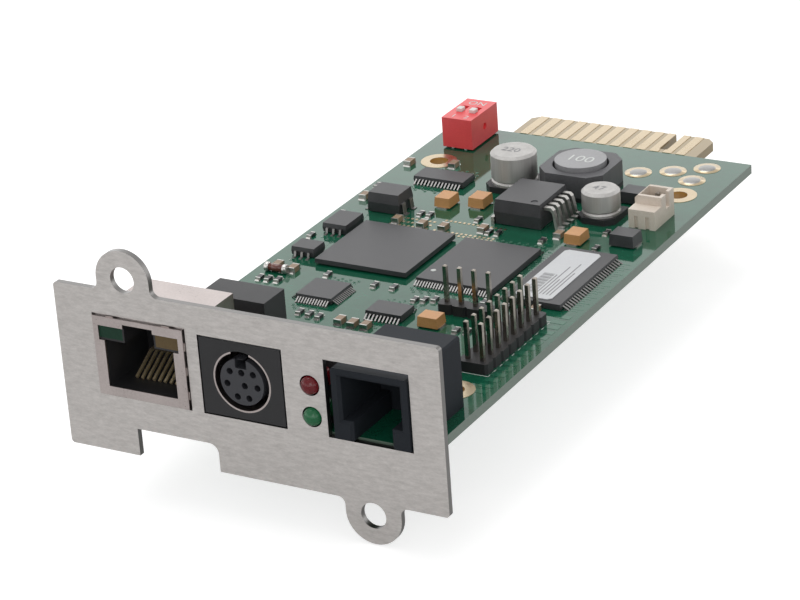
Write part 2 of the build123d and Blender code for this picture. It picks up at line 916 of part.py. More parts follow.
def end_terminals(place, length):
    """Two tin terminals folded under the ends of a moulded part."""
    x, y, turn = place
    x_span = (length / 2 - terminal_reach, length / 2 + terminal_thickness)
    lead = block(x_span, around(0, terminal_width), (0, terminal_thickness))
    return [Pos(x, y, 0) * Rot(0, 0, turn + end) * lead for end in (0, half_turn)]


# Connectors with square pins


connector_pins_y = connector_at[1] + connector_step_length / 2


def wire_connector(pins):
    """Nylon housing with a low front step, an open well behind it and a slot in its outer wall."""
    x_span = around(connector_at[0], connector_width)
    front, rear = around(connector_at[1], connector_length)
    outer = block(x_span, (front, rear), (0, connector_height))
    inner_edge = outer.edges().group_by(Axis.Z)[-1].filter_by(Axis.Y).sort_by(Axis.X)[0]
    outer = chamfer(inner_edge, connector_chamfer)
    step_end = front + connector_step_length
    step = block(x_span, (front, step_end), (connector_step_height, connector_height))
    well = block(
        around(connector_at[0], connector_width - 2 * connector_wall),
        (step_end + connector_wall, rear - connector_wall),
        (connector_floor, connector_height),
    )
    slot = block(
        (x_span[1] - connector_wall, x_span[1]),
        around(connector_pins_y, connector_slot_width),
        (connector_slot_bottom, connector_height),
    )
    grooves = [
        block(
            around(connector_at[0] + offset, connector_groove_width),
            (front, front + connector_groove_depth),
            (0, connector_groove_height),
        )
        for offset in row(2, connector_groove_pitch)
    ]
    return outer - step - well - slot - grooves - pins


def wire_connector_pins():
    """Two square pins that stand in the housing."""
    ys = [connector_pins_y + offset for offset in row(2, pin_pitch)]
    return [through_pin(connector_at[0], y, connector_pin_height) for y in ys]


header_places = [
    (header_at[0] + column * pin_pitch, header_at[1] + index * pin_pitch)
    for column in range(header_columns)
    for index in range(header_rows)
]
short_header_places = [
    (short_header_at[0] + index * pin_pitch, short_header_at[1]) for index in range(short_header_count)
]


def header_block(first, columns, rows):
    """Moulded strip under a group of pins, with a vee groove between neighbours along its length."""
    along_x = columns > rows
    width = pin_pitch if along_x else columns * pin_pitch
    depth = rows * pin_pitch if along_x else pin_pitch
    cell = block((0, width), (0, depth), (0, header_block_height))
    cell = chamfer(cell.edges().filter_by(Axis.Z), header_groove)
    corner = Pos(first[0] - pin_pitch / 2, first[1] - pin_pitch / 2, 0)
    step = Pos(pin_pitch, 0, 0) if along_x else Pos(0, pin_pitch, 0)
    cells = []
    for _ in range(max(columns, rows)):
        cells.append(corner * cell)
        corner = corner * step
    return cells[0] + cells[1:]


def chip(at, size):
    """Plain surface-mounted chip on the board."""
    return Pos(*at, 0) * block(around(0, size[0]), around(0, size[1]), (0, size[2]))


def build():
    """Make every piece and write it."""
    os.makedirs("parts", exist_ok=True)

    wires = lan_wires()
    lan_lamps = [lan_lamp(side) for side in (-1, 1)]
    shield = lan_shield()
    serial_tails = din_contacts()
    lamps = [status_lamp(z) for z in lamp_heights]
    leads = lamp_leads()
    modular_wires = aux_wires()
    module_pins = [
        through_pin(module_at[0] + x, module_at[1], module_foot_height, fine_pin) for x in module_pin_offsets
    ]
    selector_pins = switch_pins()
    connector_pins = wire_connector_pins()
    pins = [header_pin(x, y) for x, y in header_places + short_header_places]
    angle = support_angle()
    soldered = wires + [shield] + serial_tails + leads + modular_wires + module_pins
    soldered += selector_pins + connector_pins + pins + [angle]

    save("faceplate", faceplate())
    save("support_angle", angle)
    save("circuit_board", circuit_board(soldered))
    save("edge_contacts", *edge_contacts())
    save("copper_lands", *copper_lands())

    save("lan_jack_shield", shield)
    save("lan_jack_housing", lan_housing(wires, lan_lamps))
    save("lan_jack_contacts", *wires)
    save("lan_jack_green_lamp", lan_lamps[0])
    save("lan_jack_yellow_lamp", lan_lamps[1])

    save("serial_socket_housing", din_housing())
    save("serial_socket_shell", din_shell())
    save("serial_socket_core", din_core())
    save("serial_socket_tails", *serial_tails)

    save("status_lamp_red", lamps[0])
    save("status_lamp_green", lamps[1])
    save("status_lamp_holder", lamp_holder(lamps, leads))
    save("status_lamp_leads", *leads)

    save("modular_jack_housing", aux_housing(modular_wires))
    save("modular_jack_contacts", *modular_wires)

    save("supply_module", supply_module())
    save("supply_module_pins", *module_pins)

    save("selector_switch_body", switch_body())
    for number, x in enumerate(lever_xs, start=1):
        save(f"selector_switch_lever_{number}", switch_lever(x))
    save("selector_switch_pins", *selector_pins)

    save("processor", processor())
    save("flash_memory", package(flash_at, flash_width, flash_length, flash_height))
    flash_lead = fine_lead(package_standoff + flash_height / 2, fine_lead_width)
    save(
        "flash_memory_leads",
        *two_rows(flash_at, 90, flash_length / 2, flash_lead_count, flash_lead_pitch, flash_lead),
    )
    save("working_memory", package(memory_at, memory_width, memory_length, memory_height))
    memory_lead = fine_lead(package_standoff + memory_height / 2, memory_lead_width)
    save(
        "working_memory_leads",
        *two_rows(memory_at, 0, memory_width / 2, memory_lead_count, memory_lead_pitch, memory_lead),
    )
    save("memory_label", memory_label())
    save("network_controller", package(controller_at, controller_side, controller_side, controller_height))
    controller_lead = fine_lead(package_standoff + controller_height / 2, fine_lead_width)
    controller_row = (controller_side / 2, controller_lead_count, controller_lead_pitch, controller_lead)
    side_leads = two_rows(controller_at, 0, *controller_row)
    end_leads = two_rows(controller_at, 90, *controller_row)
    save("network_controller_leads", *side_leads, *end_leads)
    small_leads = []
    for name, at, (width, depth, height), (turn, count, pitch, lead_width) in small_packages:
        save(name, package(at, width, depth, height))
        form = gull_lead if pitch > coarse_pitch else fine_lead
        edge = depth / 2 if turn else width / 2
        lead = form(package_standoff + height / 2, lead_width)
        small_leads += two_rows(at, turn, edge, count, pitch, lead)
    save("small_package_leads", *small_leads)

    save("regulator", regulator())
    save("regulator_tab_and_leads", *regulator_metal())
    save("inductor_core", inductor_core())
    save("inductor_drum", inductor_drum())
    save("inductor_base", inductor_base_plate())
    save("inductor_terminals", *inductor_terminals())
    for name, at, radius, height in can_sizes:
        save(name, capacitor_can(at, radius, height))
    save("capacitor_bases", *[capacitor_base(at, radius) for name, at, radius, height in can_sizes])
    save("tantalum_capacitors", *[moulded_chip(place, tantalum_size) for place in tantalum_places])
    save("rectifiers", *[moulded_chip(place, rectifier_size) for place in rectifier_places])
    terminals = [tab for place in tantalum_places for tab in end_terminals(place, tantalum_size[0])]
    terminals += [tab for place in rectifier_places for tab in end_terminals(place, rectifier_size[0])]
    save("chip_terminals", *terminals)

    save("wire_connector", wire_connector(connector_pins))
    save("wire_connector_pins", *connector_pins)
    save("pin_header_block", header_block(header_at, header_columns, header_rows) - pins)
    save("short_header_block", header_block(short_header_at, short_header_count, 1) - pins)
    save("header_pins", *pins)
    save("chip_resistors", *[chip(at, chip_size) for at in chip_resistor_places])
    save("chip_capacitors", *[chip(at, chip_cap_size) for at in chip_capacitor_places])


build()
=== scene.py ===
from math import cos, radians, sin

import bmesh
import bpy
import numpy as np
from mathutils import Matrix, Vector


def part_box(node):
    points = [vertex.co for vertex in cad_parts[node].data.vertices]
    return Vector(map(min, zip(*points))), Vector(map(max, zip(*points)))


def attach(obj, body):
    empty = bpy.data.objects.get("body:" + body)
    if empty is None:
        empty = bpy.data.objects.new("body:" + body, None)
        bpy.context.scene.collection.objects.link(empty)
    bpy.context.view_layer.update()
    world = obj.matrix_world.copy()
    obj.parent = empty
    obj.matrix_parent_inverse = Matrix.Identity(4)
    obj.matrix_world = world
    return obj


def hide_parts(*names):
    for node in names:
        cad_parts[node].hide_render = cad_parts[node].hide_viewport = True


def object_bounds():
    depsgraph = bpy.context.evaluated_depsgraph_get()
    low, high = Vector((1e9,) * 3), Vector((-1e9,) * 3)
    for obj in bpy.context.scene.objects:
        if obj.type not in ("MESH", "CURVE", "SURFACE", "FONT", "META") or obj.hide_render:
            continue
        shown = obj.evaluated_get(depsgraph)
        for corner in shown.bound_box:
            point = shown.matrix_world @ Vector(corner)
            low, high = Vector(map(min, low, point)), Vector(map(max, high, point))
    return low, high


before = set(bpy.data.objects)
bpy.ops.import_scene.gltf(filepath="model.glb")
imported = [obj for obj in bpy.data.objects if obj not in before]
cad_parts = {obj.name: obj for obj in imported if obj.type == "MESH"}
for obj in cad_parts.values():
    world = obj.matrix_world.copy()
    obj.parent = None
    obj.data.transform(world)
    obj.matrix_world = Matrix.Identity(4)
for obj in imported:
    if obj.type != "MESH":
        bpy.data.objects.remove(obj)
cad_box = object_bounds()

# The camera stands in front of the card, to its right and a little above it, far back behind a long lens.
# Its place and turn were fitted to corners of the faceplate, the board and the sockets.
camera_place = Vector((0.23450, -0.34761, 0.20144))
camera_heading = radians(30.863)
camera_dip = radians(24.180)
camera_roll = radians(-4.211)
lens_in_pixels = 3154.68
picture_width = 800

lens = bpy.data.cameras.new("camera")
lens.sensor_width = 36
lens.lens = lens_in_pixels / picture_width * lens.sensor_width
lens.clip_start = 0.01
reach = cos(camera_dip)
forward = Vector((-sin(camera_heading) * reach, cos(camera_heading) * reach, -sin(camera_dip)))
level = forward.cross(Vector((0, 0, 1))).normalized()
right = level * cos(camera_roll) + level.cross(forward) * sin(camera_roll)
facing = Matrix((right, right.cross(forward), -forward)).transposed().to_4x4()
camera = bpy.data.objects.new("camera", lens)
camera.matrix_world = Matrix.Translation(camera_place) @ facing
bpy.context.scene.collection.objects.link(camera)
bpy.context.scene.camera = camera
bpy.context.scene.view_settings.view_transform = "Standard"


# The studio is a white tent: a pale floor just under the lower ear, white all round, and soft lamps above.
# Camera, mirror and glass rays see the white itself, and the rest gives only plain fill light.
# Mirrors see the tent brighter near its horizon, where a soft box stands, and a darker floor than the lens.
floor_half = 1.5
floor_drop = 0.0002
floor_tone = (0.50, 0.50, 0.50, 1)
floor_gloss = 0.7
floor_lift = 0.72
floor_in_mirrors = 0.28
white = (1, 1, 1, 1)
tent_fill = 0.5
horizon_heights = (0.34, 0.44)
horizon_gain = 2.0
lamp_target = Vector((0, 0.05, 0))
lamps = {
    "key_lamp": {"place": (-0.35, 0.25, 1.0), "side": 0.7, "watts": 5.0},
    "front_lamp": {"place": (0.5, -0.9, 0.55), "side": 0.6, "watts": 2.2},
}


def node(tree, kind, settings=None, **inputs):
    """Add a shader node. Each named input gets a value, or the socket that feeds it."""
    made = tree.nodes.new("ShaderNode" + kind)
    for key, value in (settings or {}).items():
        setattr(made, key, value)
    for key, value in inputs.items():
        socket = made.inputs[key.replace("_", " ")]
        if isinstance(value, bpy.types.NodeSocket):
            tree.links.new(value, socket)
        else:
            socket.default_value = value
    return made


def maths(tree, operation, *values):
    """Value of a sum, product or other operation on numbers and sockets."""
    made = tree.nodes.new("ShaderNodeMath")
    made.operation = operation
    for socket, value in zip(made.inputs, values):
        if isinstance(value, bpy.types.NodeSocket):
            tree.links.new(value, socket)
        else:
            socket.default_value = value
    return made.outputs[0]


def seen_directly(tree):
    """One for rays from the camera, a mirror or glass, and zero for the light that falls on things."""
    path = node(tree, "LightPath").outputs
    bounced = maths(tree, "MAXIMUM", path["Is Glossy Ray"], path["Is Transmission Ray"])
    return maths(tree, "MAXIMUM", path["Is Camera Ray"], bounced)


world = bpy.data.worlds.new("tent")
world.use_nodes = True
bpy.context.scene.world = world
tent = world.node_tree
rays = node(tent, "LightPath").outputs
height = node(tent, "SeparateXYZ", Vector=node(tent, "TexCoord").outputs["Generated"]).outputs["Z"]
gain = node(tent, "MapRange", Value=height, To_Min=horizon_gain, To_Max=1.0)
gain.inputs["From Min"].default_value, gain.inputs["From Max"].default_value = horizon_heights
shown = maths(tent, "MULTIPLY", seen_directly(tent), 1 - tent_fill)
extra = maths(tent, "MULTIPLY", rays["Is Glossy Ray"], maths(tent, "SUBTRACT", gain.outputs["Result"], 1.0))
brightness = maths(tent, "ADD", maths(tent, "ADD", tent_fill, shown), extra)
tent.links.new(brightness, tent.nodes["Background"].inputs["Strength"])
tent.nodes["Background"].inputs["Color"].default_value = white

floor_height = cad_box[0][2] - floor_drop
floor_mesh = bpy.data.meshes.new("floor")
corners = [(x * floor_half, y * floor_half) for x, y in ((-1, -1), (1, -1), (1, 1), (-1, 1))]
floor_mesh.from_pydata([(x, y, floor_height) for x, y in corners], [], [(0, 1, 2, 3)])
floor = bpy.data.objects.new("floor", floor_mesh)
bpy.context.scene.collection.objects.link(floor)
paper_sweep = bpy.data.materials.new("paper_sweep")
paper_sweep.use_nodes = True
sweep = paper_sweep.node_tree
sweep_inputs = sweep.nodes["Principled BSDF"].inputs
sweep_inputs["Base Color"].default_value = floor_tone
sweep_inputs["Roughness"].default_value = floor_gloss
sweep_inputs["Emission Color"].default_value = white
sweep_rays = node(sweep, "LightPath").outputs
looked_at = maths(sweep, "MAXIMUM", sweep_rays["Is Camera Ray"], sweep_rays["Is Transmission Ray"])
sweep_lift = maths(sweep, "MULTIPLY", looked_at, floor_lift)
mirror_lift = maths(sweep, "MULTIPLY", sweep_rays["Is Glossy Ray"], floor_in_mirrors)
sweep.links.new(maths(sweep, "ADD", sweep_lift, mirror_lift), sweep_inputs["Emission Strength"])
floor_mesh.materials.append(paper_sweep)

for name, lamp in lamps.items():
    light = bpy.data.lights.new(name, "AREA")
    light.size = lamp["side"]
    light.energy = lamp["watts"]
    shade = bpy.data.objects.new(name, light)
    aim = (Vector(lamp["place"]) - lamp_target).to_track_quat("Z", "Y")
    shade.matrix_world = Matrix.Translation(lamp["place"]) @ aim.to_matrix().to_4x4()
    bpy.context.scene.collection.objects.link(shade)


# Faceplate: stainless sheet, punched, then brushed along its length, so fine streaks run from side to side.
# Every finish of the card takes its small changes of tone and gloss from one noise group, defined here.
# The angle that ties the plate to the board is bent from zinc-plated sheet.
plate_dark = (0.44, 0.418, 0.402, 1)
plate_light = (0.62, 0.592, 0.572, 1)
plate_stretch = (1900, 4000, 7000)
punched_tone = (0.20, 0.195, 0.19, 1)
angle_dark = (0.36, 0.36, 0.35, 1)
angle_light = (0.48, 0.47, 0.46, 1)
upright_limit = 0.5


def make_grain():
    """A fine and a coarse noise are averaged; the result runs from Dark to Light and from Low to High."""
    group = bpy.data.node_groups.new("grain", "ShaderNodeTree")
    numbers = ("Fine", "Coarse", "Low", "High")
    given_kinds = {"Vector": "Vector", "Dark": "Color", "Light": "Color", **dict.fromkeys(numbers, "Float")}
    for name, kind in given_kinds.items():
        group.interface.new_socket(name, in_out="INPUT", socket_type="NodeSocket" + kind)
    for name, kind in {"Color": "Color", "Roughness": "Float", "Height": "Float"}.items():
        group.interface.new_socket(name, in_out="OUTPUT", socket_type="NodeSocket" + kind)
    given = group.nodes.new("NodeGroupInput").outputs
    result = group.nodes.new("NodeGroupOutput").inputs
    fine = node(group, "TexNoise", Vector=given["Vector"], Scale=given["Fine"], Detail=3.0, Roughness=0.6)
    coarse = node(group, "TexNoise", Vector=given["Vector"], Scale=given["Coarse"], Detail=2.0)
    half = maths(group, "MULTIPLY", maths(group, "ADD", fine.outputs["Fac"], coarse.outputs["Fac"]), 0.5)
    amount = node(group, "MapRange", Value=half, From_Min=0.3, From_Max=0.7).outputs["Result"]
    tone = node(group, "Mix", {"data_type": "RGBA"})
    group.links.new(amount, tone.inputs[0])
    group.links.new(given["Dark"], tone.inputs[6])
    group.links.new(given["Light"], tone.inputs[7])
    gloss = node(group, "MapRange", Value=amount, To_Min=given["Low"], To_Max=given["High"])
    group.links.new(tone.outputs[2], result["Color"])
    group.links.new(gloss.outputs["Result"], result["Roughness"])
    group.links.new(fine.outputs["Fac"], result["Height"])
    return group


grain = make_grain()


def finish(
    name, dark, light, roughness, fine=3000.0, coarse=150.0, stretch=(1, 1, 1),
    relief=0.0, metal=0.0, **shader
):
    """Material with the grain on the piece's own coordinates. Relief is the depth of its bumps in metres."""
    material = bpy.data.materials.new(name)
    material.use_nodes = True
    tree = material.node_tree
    surface = tree.nodes["Principled BSDF"]
    place = node(tree, "Mapping", Vector=node(tree, "TexCoord").outputs["Object"], Scale=stretch)
    look = node(tree, "Group", {"node_tree": grain}, Vector=place.outputs[0], Fine=fine, Coarse=coarse)
    look.inputs["Dark"].default_value = dark
    look.inputs["Light"].default_value = light
    look.inputs["Low"].default_value, look.inputs["High"].default_value = roughness
    tree.links.new(look.outputs["Color"], surface.inputs["Base Color"])
    tree.links.new(look.outputs["Roughness"], surface.inputs["Roughness"])
    surface.inputs["Metallic"].default_value = metal
    for key, value in shader.items():
        surface.inputs[key.replace("_", " ")].default_value = value
    if relief:
        bump = node(tree, "Bump", Height=look.outputs["Height"], Distance=relief, Strength=0.6)
        tree.links.new(bump.outputs[0], surface.inputs["Normal"])
    return material


def dress(material, *names):
    """Give CAD nodes their material."""
    for name in names:
        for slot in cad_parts[name].material_slots:
            slot.material = material


def tint_where(material, choose, tone):
    """Give a material another colour where the chosen maths on its normal and place comes to one."""
    tree = material.node_tree
    base = tree.nodes["Principled BSDF"].inputs["Base Color"]
    normal = node(tree, "SeparateXYZ", Vector=node(tree, "NewGeometry").outputs["Normal"]).outputs
    place = node(tree, "SeparateXYZ", Vector=node(tree, "TexCoord").outputs["Object"]).outputs
    mix = node(tree, "Mix", {"data_type": "RGBA"})
    tree.links.new(choose(tree, normal, place), mix.inputs[0])
    tree.links.new(base.links[0].from_socket, mix.inputs[6])
    mix.inputs[7].default_value = tone
    tree.links.new(mix.outputs[2], base)


def on_punched_edge(tree, normal, place):
    """One on the sheet's own edges and in its openings."""
    return maths(tree, "LESS_THAN", maths(tree, "ABSOLUTE", normal["Y"]), upright_limit)


brushed = finish(
    "brushed_plate", plate_dark, plate_light, (0.28, 0.42), 1.0, 0.3, plate_stretch, 0.000006, metal=1.0
)
tint_where(brushed, on_punched_edge, punched_tone)
dress(brushed, "faceplate")
dress(finish("plated_steel", angle_dark, angle_light, (0.3, 0.45), metal=1.0), "support_angle")


# Circuit board: glass-fibre laminate under a glossy green solder mask, sawn bare at its edges.
# The mask mirrors the white room at a low angle, and the tongue behind it is bare laminate between contacts.
# Its four mounting holes are plated through with gold.
board_top = -0.00375
board_thickness = 0.0016
mask_dark = (0.003, 0.072, 0.036, 1)
mask_light = (0.010, 0.120, 0.066, 1)
edge_tone = (0.15, 0.21, 0.165, 1)
tongue_tone = (0.34, 0.245, 0.10, 1)
tongue_start = 0.1158
plated_tone = (0.55, 0.31, 0.09, 1)
plated_span = 0.027
plated_reach = (0.004, 0.112)


def on_sawn_edge(tree, normal, place):
    """One on the upright faces of the board."""
    return maths(tree, "LESS_THAN", maths(tree, "ABSOLUTE", normal["Z"]), upright_limit)


def in_plated_hole(tree, normal, place):
    """One on upright faces well inside the board's outline."""
    across = maths(tree, "LESS_THAN", maths(tree, "ABSOLUTE", place["X"]), plated_span)
    behind = maths(tree, "GREATER_THAN", place["Y"], plated_reach[0])
    ahead = maths(tree, "LESS_THAN", place["Y"], plated_reach[1])
    inside = maths(tree, "MULTIPLY", across, maths(tree, "MULTIPLY", behind, ahead))
    return maths(tree, "MULTIPLY", inside, on_sawn_edge(tree, normal, place))


def on_tongue(tree, normal, place):
    """One behind the line where the mask ends."""
    return maths(tree, "GREATER_THAN", place["Y"], tongue_start)


board_mask = finish(
    "solder_mask", mask_dark, mask_light, (0.05, 0.09), 700.0, 60.0, relief=0.0000025, IOR=1.6
)
tint_where(board_mask, on_sawn_edge, edge_tone)
tint_where(board_mask, in_plated_hole, plated_tone)
tint_where(board_mask, on_tongue, tongue_tone)
dress(board_mask, "circuit_board")


# Edge contacts and plated lands: copper under nickel and a thin coat of gold, rolled flat and slightly worn.
gold_dark = (0.42, 0.335, 0.215, 1)
gold_light = (0.56, 0.465, 0.325, 1)
bare_gold = finish("gold", gold_dark, gold_light, (0.22, 0.38), metal=1.0)
dress(bare_gold, "edge_contacts", "copper_lands")


# Network and serial sockets: a folded, tinned brass shield round a black insert with eight sprung wires and
# two lamps in the upper corners of its mouth, and a round socket with a metal shell in a black block.
# Bowed spring tabs, pressed out of the network shield's sides and top, touch the faceplate.
shield_dark = (0.38, 0.335, 0.322, 1)
shield_light = (0.50, 0.445, 0.43, 1)
moulding_dark = (0.012, 0.012, 0.013, 1)
moulding_light = (0.022, 0.022, 0.024, 1)
insert_dark = (0.022, 0.023, 0.028, 1)
insert_light = (0.034, 0.035, 0.042, 1)
wire_dark = (0.80, 0.62, 0.34, 1)
wire_light = (0.95, 0.80, 0.52, 1)
green_dark = (0.008, 0.035, 0.020, 1)
green_light = (0.014, 0.055, 0.032, 1)
yellow_dark = (0.10, 0.070, 0.032, 1)
yellow_light = (0.15, 0.105, 0.05, 1)
dull = 0.15
tab_bow = 0.00022
tab_span = 0.0021
tab_sheet = 0.00008
tab_width = 0.0013
tab_setback = 0.0002
tab_points = 9
side_tab_heights = np.array([0.0022, 0.0062, 0.0102])
top_tab_insets = np.array([0.003, 0.013])


def add_piece(name, points, faces, material, smooth=False):
    """Mesh object that rides on the card, with its poles and seams merged and its normals turned outward."""
    mesh = bpy.data.meshes.new(name)
    mesh.from_pydata(points.reshape(-1, 3).tolist(), [], faces.tolist())
    work = bmesh.new()
    work.from_mesh(mesh)
    bmesh.ops.remove_doubles(work, verts=work.verts, dist=1e-7)
    bmesh.ops.recalc_face_normals(work, faces=work.faces)
    work.to_mesh(mesh)
    work.free()
    mesh.polygons.foreach_set("use_smooth", [smooth] * len(mesh.polygons))
    mesh.materials.append(material)
    piece = bpy.data.objects.new(name, mesh)
    bpy.context.scene.collection.objects.link(piece)
    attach(piece, "card")
    return piece


def add_tabs(name, front, wall, outward, across, along, centres):
    """Tabs on a wall: each stands out by the bow times the sine of an angle from 0 to pi along it."""
    angles = np.linspace(0, np.pi, tab_points)
    places = front + tab_setback + tab_span * angles / np.pi
    inner = wall + outward * tab_bow * np.sin(angles)
    outline_along = np.concatenate([places, places[::-1]])
    outline_across = np.concatenate([inner, inner[::-1] + outward * tab_sheet])
    count = len(outline_along)
    points = np.zeros((len(centres), 2, count, 3))
    points[..., 1] = outline_along
    points[..., across] = outline_across
    points[..., along] = (centres[:, None] + [-tab_width / 2, tab_width / 2])[:, :, None]
    here = np.arange(count)
    there = (here + 1) % count
    skin = np.stack([here, there, there + count, here + count], -1)
    step = np.arange(count // 2 - 1)
    lid = np.stack([step, step + 1, count - 2 - step, count - 1 - step], -1)
    starts = 2 * count * np.arange(len(centres))[:, None, None]
    faces = np.concatenate([skin, lid, lid[:, ::-1] + count]) + starts
    add_piece(name, points, faces.reshape(-1, 4), shield_tin)


shield_tin = finish("tinned_shield", shield_dark, shield_light, (0.25, 0.4), metal=1.0)
dress(shield_tin, "lan_jack_shield", "serial_socket_shell")
black_moulding = finish(
    "black_moulding", moulding_dark, moulding_light, (0.42, 0.58), relief=0.00001, Specular_IOR_Level=0.35
)
dress(black_moulding, "lan_jack_housing", "serial_socket_housing", "status_lamp_holder", "inductor_base")
dress(black_moulding, "capacitor_bases", "pin_header_block", "short_header_block")
dress(finish("contact_insert", insert_dark, insert_light, (0.45, 0.6), relief=0.00001), "serial_socket_core")
sprung_gold = finish("sprung_gold", wire_dark, wire_light, (0.3, 0.4), metal=0.85)
dress(sprung_gold, "lan_jack_contacts", "modular_jack_contacts")
green_window = finish("green_window", green_dark, green_light, (0.3, 0.4), Specular_IOR_Level=dull)
yellow_window = finish("yellow_window", yellow_dark, yellow_light, (0.3, 0.4), Specular_IOR_Level=dull)
dress(green_window, "lan_jack_green_lamp")
dress(yellow_window, "lan_jack_yellow_lamp")
shield_low, shield_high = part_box("lan_jack_shield")
tab_rows = board_top + side_tab_heights
add_tabs("shield_tabs_left", shield_low[1], shield_low[0], -1, 0, 2, tab_rows)
add_tabs("shield_tabs_right", shield_low[1], shield_high[0], 1, 0, 2, tab_rows)
add_tabs("shield_tabs_upper", shield_low[1], shield_high[2], 1, 2, 0, shield_low[0] + top_tab_insets)


# Modular socket: one blue-black moulding that stands proud of the faceplate, with six gold wires.
jack_dark = (0.016, 0.019, 0.024, 1)
jack_light = (0.025, 0.029, 0.035, 1)
jack_moulding = finish(
    "blue_black_moulding", jack_dark, jack_light, (0.5, 0.62), relief=0.00001, Specular_IOR_Level=0.1
)
dress(jack_moulding, "modular_jack_housing")


# Status lamps: cast, tinted resin lenses with round heads that stand out of the faceplate.
# Each lens is turned about the axis along the card and stands for the faceted body of the same size.
lens_radius = 0.0015
flange_radius = 0.00185
flange_length = 0.001
lens_steps = np.linspace(0, np.pi / 2, 14)
lens_tints = {
    "status_lamp_red": {"dark": (0.13, 0.004, 0.008, 1), "light": (0.21, 0.008, 0.014, 1)},
    "status_lamp_green": {"dark": (0.01, 0.13, 0.045, 1), "light": (0.02, 0.20, 0.075, 1)},
}


def add_turned(name, profile, centres, material, sides=24, along=2, loop=False):
    """Turned pieces: a profile of radius and height, swept in a circle about an axis through each centre."""
    profile = np.asarray(profile, dtype=float)
    centres = np.asarray(centres, dtype=float).reshape(-1, 3)
    angles = np.linspace(0, 2 * np.pi, sides, endpoint=False)
    radii = profile[:, 0]
    heights = np.repeat(profile[:, 1:], sides, 1)
    ring = np.stack([np.outer(radii, np.cos(angles)), np.outer(radii, np.sin(angles)), heights], -1)
    points = np.roll(ring, along - 2, axis=-1) + centres[:, None, None]
    rows = len(profile)
    low = np.arange(rows if loop else rows - 1)[:, None] * sides
    high = (low + sides) % (rows * sides)
    here = np.arange(sides)
    there = (here + 1) % sides
    quads = np.stack([low + here, low + there, high + there, high + here], -1).reshape(-1, 4)
    faces = quads + rows * sides * np.arange(len(centres))[:, None, None]
    return add_piece(name, points, faces.reshape(-1, 4), material, smooth=True)


for name, tint in lens_tints.items():
    low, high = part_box(name)
    middle = ((low[0] + high[0]) / 2, 0.0, (low[2] + high[2]) / 2)
    head = np.stack([lens_radius * np.sin(lens_steps), low[1] + lens_radius * (1 - np.cos(lens_steps))], -1)
    shoulder = high[1] - flange_length
    body = [(lens_radius, shoulder), (flange_radius, shoulder), (flange_radius, high[1]), (0.0, high[1])]
    gloss = {"roughness": (0.12, 0.18), "Transmission_Weight": 0.2, "Specular_IOR_Level": 0.25}
    resin = finish(name + "_resin", tint["dark"], tint["light"], **gloss)
    lens_piece = add_turned(name + "_lens", np.concatenate([head, body]), [middle], resin, sides=40, along=1)
    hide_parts(name)


# Supply module: a sealed, potted block in a matt black case.
case_dark = (0.02, 0.02, 0.022, 1)
case_light = (0.035, 0.035, 0.038, 1)
dress(finish("potted_case", case_dark, case_light, (0.5, 0.65), relief=0.00001), "supply_module")


# Selector switch: a glossy red moulding with two white slides, marked with their numbers and ON.
# The ink stands a few hundredths of a millimetre proud.
red_dark = (0.78, 0.062, 0.07, 1)
red_light = (0.90, 0.085, 0.095, 1)
slide_dark = (0.72, 0.71, 0.68, 1)
slide_light = (0.82, 0.81, 0.78, 1)
white_ink_dark = (0.62, 0.64, 0.62, 1)
white_ink_light = (0.74, 0.76, 0.74, 1)
ink_height = 0.00002
switch_words = {
    "ON": {"inset": 0.0012, "foot": 0.0073, "size": 0.0022},
    "1": {"inset": 0.0013, "foot": 0.0008, "size": 0.0017},
    "2": {"inset": 0.0038, "foot": 0.0008, "size": 0.0017},
}


def print_text(word, corner, size, ink):
    """Flat letters on an upper face, from their lower left corner."""
    curve = bpy.data.curves.new("letters", "FONT")
    curve.body = word
    curve.size = size
    curve.extrude = ink_height
    typed = bpy.data.objects.new("letters", curve)
    bpy.context.scene.collection.objects.link(typed)
    mesh = bpy.data.meshes.new_from_object(typed)
    bpy.data.objects.remove(typed)
    mesh.transform(Matrix.Translation(corner))
    mesh.materials.clear()
    mesh.materials.append(ink)
    mark = bpy.data.objects.new("print_" + word, mesh)
    bpy.context.scene.collection.objects.link(mark)
    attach(mark, "card")


dress(finish("red_moulding", red_dark, red_light, (0.28, 0.4), relief=0.000006), "selector_switch_body")
white_slide = finish("white_slide", slide_dark, slide_light, (0.4, 0.5))
dress(white_slide, "selector_switch_lever_1", "selector_switch_lever_2")
ink_white = finish("white_ink", white_ink_dark, white_ink_light, (0.5, 0.6))
switch_low, switch_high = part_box("selector_switch_body")
for word, spec in switch_words.items():
    corner = (switch_low[0] + spec["inset"], switch_low[1] + spec["foot"], switch_high[2])
    print_text(word, corner, spec["size"], ink_white)


# Packages: filled epoxy, moulded matt, with tinned leads formed into gull wings and a dot at the first pin.
# The memory carries a paper label with plain bars and lines on it.
epoxy_dark = (0.026, 0.026, 0.029, 1)
epoxy_light = (0.050, 0.050, 0.054, 1)
lead_dark = (0.16, 0.155, 0.15, 1)
lead_light = (0.27, 0.265, 0.26, 1)
tin_dark = (0.36, 0.35, 0.335, 1)
tin_light = (0.54, 0.53, 0.505, 1)
paper_dark = (0.60, 0.61, 0.63, 1)
paper_light = (0.68, 0.69, 0.70, 1)
grey_ink_dark = (0.20, 0.20, 0.21, 1)
grey_ink_light = (0.26, 0.26, 0.27, 1)
dot_radius = 0.00045
dot_place = (0.00076, 0.05468)
mark_start = 0.0015
bar_steps = np.arange(22)
bar_inset = 0.0009
bar_pitch = 0.00036
bar_length = 0.0019
bar_widths = 0.00008 + 0.00007 * (bar_steps * 5 % 3)
line_steps = np.arange(5)
line_inset = 0.0031
line_pitch = 0.0006
line_thickness = 0.00018
line_lengths = np.array([0.0075, 0.0110, 0.0060, 0.0125, 0.0090])


